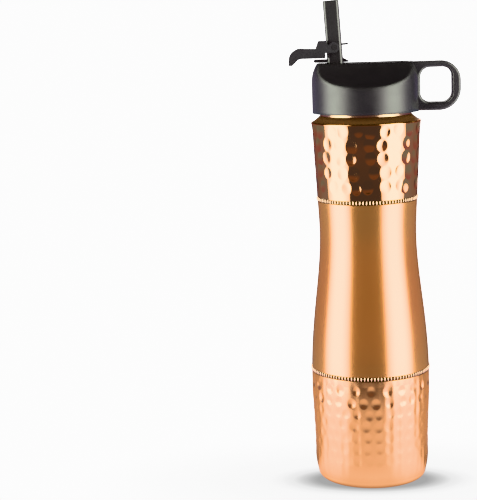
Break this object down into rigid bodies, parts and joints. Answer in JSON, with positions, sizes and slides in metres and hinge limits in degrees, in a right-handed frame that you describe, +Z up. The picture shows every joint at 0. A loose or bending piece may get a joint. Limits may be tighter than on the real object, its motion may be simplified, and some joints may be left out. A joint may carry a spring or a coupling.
{
  "type": "copper water bottle",
  "caption": "Hammered and satin copper water bottle with beaded bands, black screw lid, carry loop and a flip-up drinking spout with folding cover lever.",
  "frame": {"origin": "centre of the flat underside, on the bottle's axis, at the plane it stands on", "axes": "+Z up along the bottle's axis, +X towards the carry loop, +Y to the back"},
  "size_m": [0.1113, 0.08, 0.3199],
  "materials": {
    "copper": "hammered and satin copper",
    "black_shell": "satin moulded",
    "black_gloss": "glossy moulded",
    "liner_plastic": "moulded",
    "silicone": "soft translucent white",
    "black_silicone": "soft black",
    "straw_plastic": "milky translucent",
    "steel": "plain"
  },
  "bodies": {
    "bottle": {"vessel_shell": "copper", "base_disc": "copper", "threaded_neck": "copper", "lower_bead_ring": "copper", "upper_bead_ring": "copper"},
    "gasket": {"lid_gasket": "silicone"},
    "lid": {"lid_shell": "black_shell", "carry_loop": "black_shell", "lid_liner": "liner_plastic", "seat_seal": "silicone", "vent_grommet": "black_silicone", "straw_connector": "liner_plastic", "drinking_straw": "straw_plastic", "hinge_pin_front": "steel", "hinge_pin_rear": "steel"},
    "spout": {"spout": "black_gloss", "mouthpiece": "black_gloss", "vent_pin": "black_gloss"},
    "cover": {"mouthpiece_cover": "black_shell"}
  },
  "joints": [
    {"name": "lid_rise", "type": "slide", "parent": "bottle", "child": "gasket", "axis": [0, 0, 1], "range_m": [0, 0.0061]},
    {"name": "lid_turn", "type": "hinge", "parent": "gasket", "child": "lid", "pos_m": [0, 0, 0.25], "axis": [0, 0, 1], "range_deg": [0, 540]},
    {"name": "spout_fold", "type": "hinge", "parent": "lid", "child": "spout", "pos_m": [-0.0188, 0, 0.2735], "axis": [0, 1, 0], "range_deg": [0, 93.3]},
    {"name": "cover_fold", "type": "hinge", "parent": "spout", "child": "cover", "pos_m": [-0.01972, 0, 0.28937], "axis": [0, 1, 0], "range_deg": [0, 86.7]}
  ],
  "couplings": [
    {"joint": "lid_rise", "follows": "lid_turn", "m_per_rad": 0.00063662}
  ]
}
